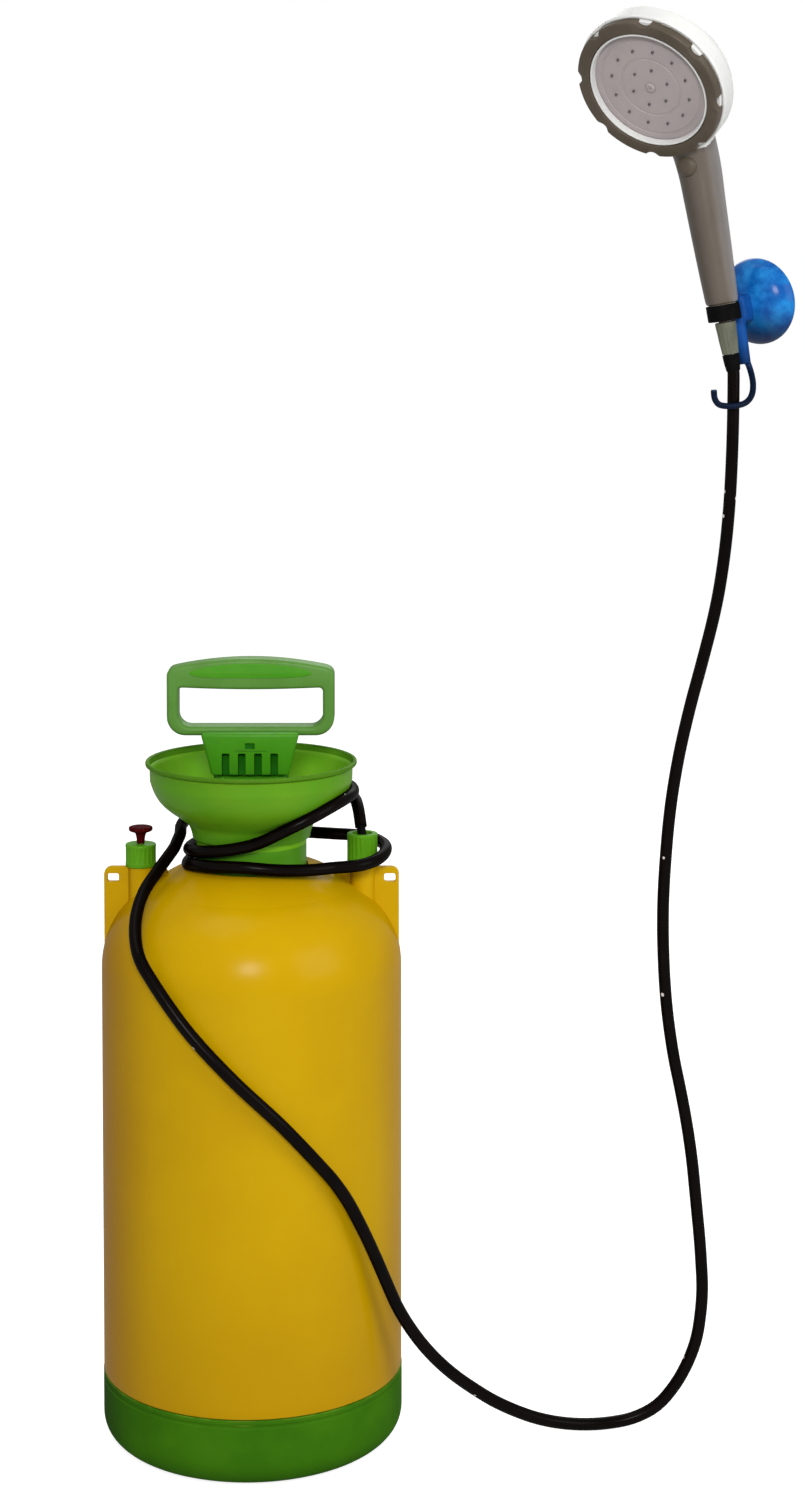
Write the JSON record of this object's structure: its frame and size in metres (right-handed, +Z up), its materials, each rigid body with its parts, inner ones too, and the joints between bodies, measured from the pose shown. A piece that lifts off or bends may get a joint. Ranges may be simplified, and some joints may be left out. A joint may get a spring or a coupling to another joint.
{
  "type": "portable_shower",
  "caption": "Portable pressure shower: yellow hand-pumped water tank with green funnel and boot, black hose wound round its neck, and a grey handset in a blue suction-cup holder",
  "frame": {"origin": "centre of the boot's base, on the floor", "axes": "+Z up, -Y to the front of the tank as pictured, +X towards the handset"},
  "size_m": [0.4531, 0.2062, 0.9327],
  "materials": {
    "tank_yellow": "moulded polythene, slightly glossy yellow",
    "fitting_green": "moulded green plastic",
    "boot_green": "darker green moulded foot",
    "knob_red": "dark red moulded plastic",
    "rubber_black": "black sealing rubber",
    "hose_black": "smooth black flexible hose",
    "handset_grey": "polished warm grey plastic",
    "face_grey": "grey nozzle face",
    "ring_dark": "dark brown-grey grip ring",
    "holder_blue": "glossy blue plastic",
    "pump_white": "white moulded plastic",
    "rod_steel": "plain steel"
  },
  "bodies": {
    "tank": {"tank_shell": "tank_yellow", "base_boot": "boot_green", "funnel": "fitting_green", "funnel_gasket": "rubber_black", "relief_body": "fitting_green", "outlet_body": "pump_white", "outlet_washer": "rubber_black", "dip_tube": "pump_white", "strainer": "pump_white", "hose_winding": "hose_black", "hose_run": "hose_black", "holder_strap": "rubber_black", "holder_bracket": "holder_blue", "suction_cup": "holder_blue"},
    "neck_seal": {"pump_seal": "rubber_black"},
    "pump": {"pump_cap": "fitting_green", "pump_barrel": "pump_white", "valve_seat": "pump_white"},
    "foot_valve": {"foot_valve_disc": "rubber_black"},
    "guide": {"rod_guide": "pump_white"},
    "plunger": {"piston_rod": "rod_steel", "piston": "pump_white", "piston_seal": "rubber_black", "piston_nut": "rod_steel", "pump_handle": "fitting_green", "handle_pin": "rod_steel"},
    "relief": {"relief_seal": "rubber_black", "relief_stem": "pump_white", "relief_knob": "knob_red", "relief_spring": "rod_steel"},
    "outlet_collar": {"outlet_nut": "fitting_green"},
    "hose_end": {"hose_ferrule": "rod_steel", "hose_washer": "rubber_black"},
    "handset": {"handset_body": "handset_grey", "face_rim": "pump_white", "face_plate": "face_grey", "nozzle_mat": "rubber_black", "face_screw": "rod_steel"},
    "handset_collar": {"handset_nut": "handset_grey"},
    "ring": {"spray_ring": "ring_dark"},
    "button": {"stop_button": "ring_dark"}
  },
  "joints": [
    {"name": "thread_rise", "type": "slide", "parent": "tank", "child": "neck_seal", "axis": [0, 0, 1], "range_m": [0, 0.01]},
    {"name": "pump_unscrew", "type": "hinge", "parent": "neck_seal", "child": "pump", "pos_m": [0, 0, 0.395], "axis": [0, 0, 1], "range_deg": [0, 900]},
    {"name": "foot_valve_drop", "type": "slide", "parent": "pump", "child": "foot_valve", "axis": [0, 0, -1], "range_m": [0, 0.0015], "stiffness_N_per_m": 60, "springref_m": -0.001},
    {"name": "handle_turn", "type": "hinge", "parent": "pump", "child": "guide", "pos_m": [0, 0, 0.437], "axis": [0, 0, 1], "range_deg": [-90, 90]},
    {"name": "pump_stroke", "type": "slide", "parent": "guide", "child": "plunger", "axis": [0, 0, 1], "range_m": [0, 0.15]},
    {"name": "relief_pull", "type": "slide", "parent": "tank", "child": "relief", "axis": [0, 0, 1], "range_m": [0, 0.004], "stiffness_N_per_m": 400, "springref_m": -0.003, "deforming": ["relief_spring"]},
    {"name": "outlet_nut_turn", "type": "hinge", "parent": "tank", "child": "outlet_collar", "pos_m": [0.0725, 0, 0.387], "axis": [0, 0, 1], "continuous": true},
    {"name": "handset_lift", "type": "slide", "parent": "tank", "child": "hose_end", "axis": [-0.1719, 0, 0.9851], "range_m": [0, 0.06]},
    {"name": "handset_turn", "type": "hinge", "parent": "hose_end", "child": "handset", "pos_m": [0.3118, 0, 0.7085], "axis": [-0.1719, 0, 0.9851], "continuous": true},
    {"name": "handset_nut_turn", "type": "hinge", "parent": "handset", "child": "handset_collar", "pos_m": [0.3118, 0, 0.7085], "axis": [-0.1719, 0, 0.9851], "continuous": true},
    {"name": "spray_select", "type": "hinge", "parent": "handset", "child": "ring", "pos_m": [0.25349, -0.0333, 0.87891], "axis": [-0.4854, -0.6781, -0.5519], "range_deg": [-45, 45]},
    {"name": "button_press", "type": "slide", "parent": "handset", "child": "button", "axis": [0.6358, 0.7638, 0.111], "range_m": [0, 0.0018], "stiffness_N_per_m": 200, "springref_m": -0.001}
  ],
  "couplings": [
    {"joint": "pump_unscrew", "follows": "thread_rise", "rad_per_m": 1570.8}
  ]
}
